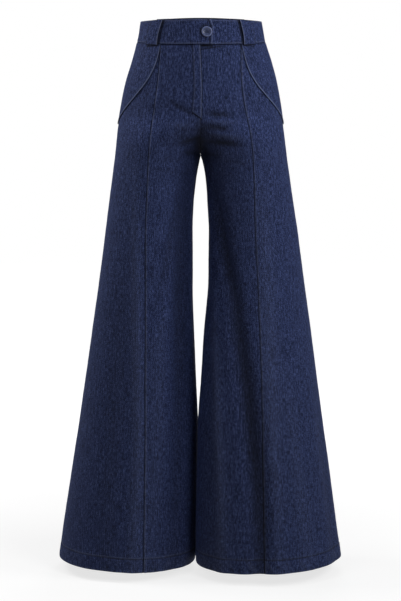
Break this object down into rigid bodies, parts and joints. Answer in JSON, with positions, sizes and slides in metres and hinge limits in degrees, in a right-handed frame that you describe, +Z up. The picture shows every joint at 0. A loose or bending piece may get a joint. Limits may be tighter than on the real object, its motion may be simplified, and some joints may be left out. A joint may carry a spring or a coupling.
{
  "type": "wide leg jeans",
  "caption": "Empty wide leg jeans in worn shape: high waistband with tab and button, curved hip yokes, princess seams, fly and flared hemmed legs, all open at waist and hems.",
  "frame": {"origin": "middle of the waist opening at half the height of the waistband", "axes": "+Z up along the legs, the front faces -Y, +X to the right of the front view"},
  "size_m": [0.5666, 0.2915, 1.1081],
  "materials": {
    "denim": "matt indigo twill",
    "button_plastic": "satin"
  },
  "bodies": {
    "root": {"front_center_left": "denim", "front_side_left": "denim", "back_left": "denim", "hip_yoke_left": "denim", "front_center_right": "denim", "front_side_right": "denim", "back_right": "denim", "hip_yoke_right": "denim", "fly_facing": "denim", "waistband_left": "denim", "waistband_right": "denim", "belt_loop_front_left": "denim", "belt_loop_front_right": "denim", "belt_loop_back_left": "denim", "belt_loop_back_center": "denim", "belt_loop_back_right": "denim", "button": "button_plastic"}
  },
  "joints": []
}
